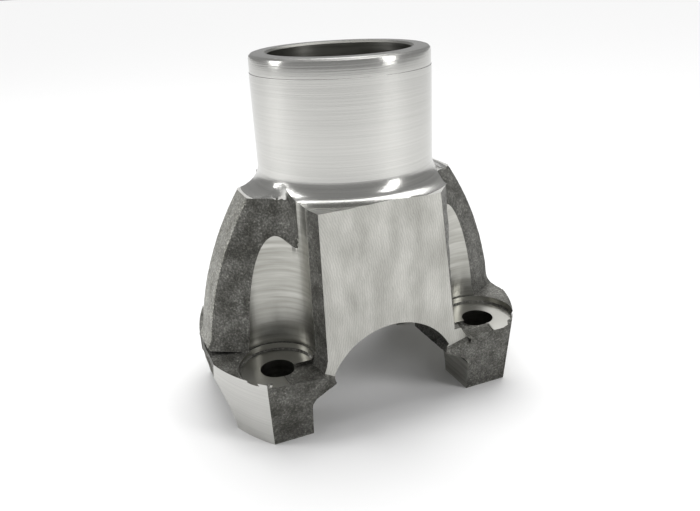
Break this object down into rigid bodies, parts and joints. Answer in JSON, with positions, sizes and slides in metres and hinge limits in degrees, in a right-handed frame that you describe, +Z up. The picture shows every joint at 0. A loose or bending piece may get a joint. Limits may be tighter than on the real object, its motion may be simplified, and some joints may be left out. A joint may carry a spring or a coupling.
{
  "type": "half-round end yoke",
  "caption": "Forged steel end yoke with a turned hub, a splined bore, two ribbed ears and half-round bearing saddles held by bolts.",
  "frame": {"origin": "on the hub's axis, in the plane of the four bolting feet", "axes": "+Z up the hub's axis from the feet, X from ear to ear along the saddles, Y through the throat between the ears"},
  "size_m": [0.132, 0.0872, 0.1378],
  "materials": {
    "yoke": "forged steel, turned and milled faces"
  },
  "bodies": {
    "root": {"yoke": "yoke"}
  },
  "joints": []
}
